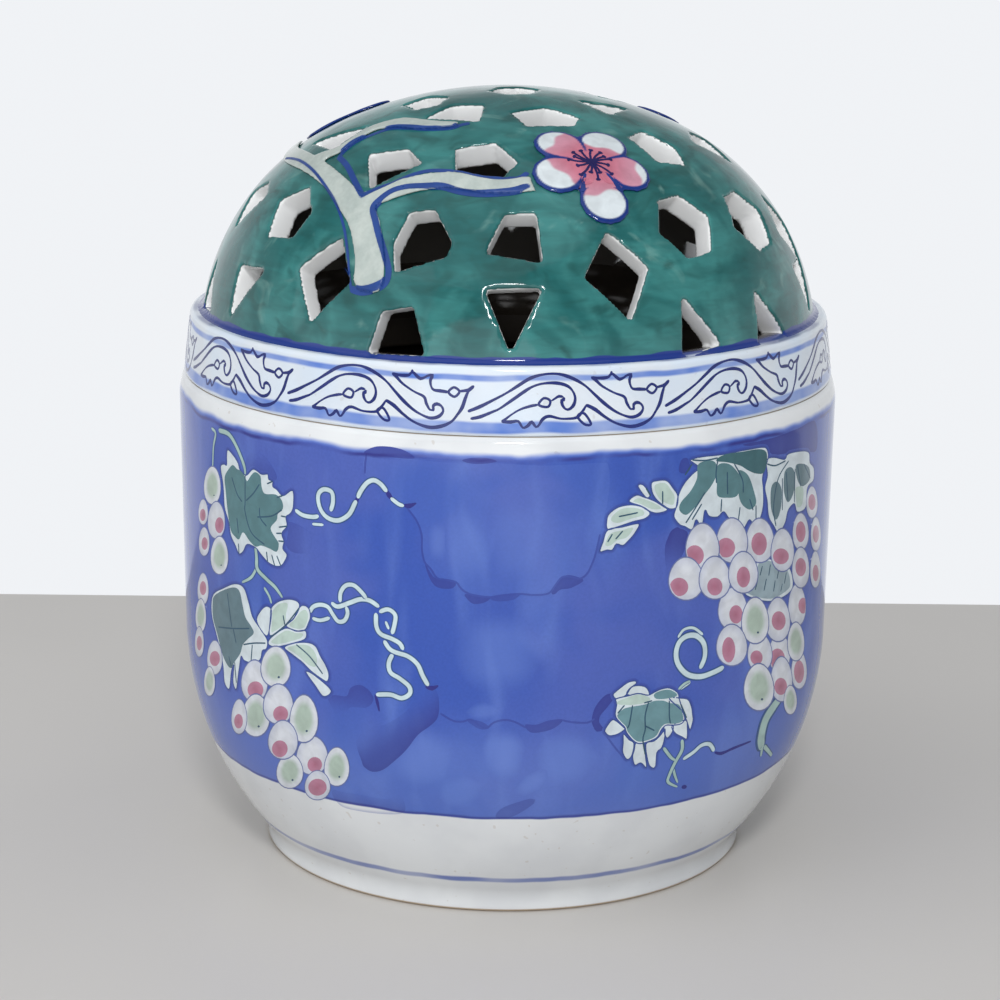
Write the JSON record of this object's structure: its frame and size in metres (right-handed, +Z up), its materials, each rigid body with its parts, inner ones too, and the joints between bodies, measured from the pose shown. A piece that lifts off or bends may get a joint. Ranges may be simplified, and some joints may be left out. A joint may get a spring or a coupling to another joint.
{
  "type": "potpourri vase",
  "caption": "Round porcelain potpourri jar with a foot ring, a painted straight wall and a lift-off pierced dome lid carrying a raised blossoming branch.",
  "frame": {"origin": "centre of the foot ring's underside, on the surface that the jar stands on", "axes": "+Z up along the axis of the jar and lid, -Y towards the side that the picture shows, +X to its right"},
  "size_m": [0.126, 0.126, 0.147],
  "materials": {
    "jar_glaze": "clear gloss glaze over hand-painted blue ground on white porcelain",
    "lid_glaze": "brushed green enamel on the dome, white band with blue scrolls, all under a clear gloss glaze",
    "branch_enamel": "pale grey-white glaze with blue outlines",
    "blossom_enamel": "white to rose enamel petals with blue outlines and stamens"
  },
  "bodies": {
    "jar": {"jar": "jar_glaze"},
    "lid": {"lid": "lid_glaze", "prunus_branch": "branch_enamel", "blossoms": "blossom_enamel"}
  },
  "joints": [
    {"name": "lid_lift", "type": "slide", "parent": "jar", "child": "lid", "axis": [0, 0, 1], "range_m": [0, 0.1]}
  ]
}
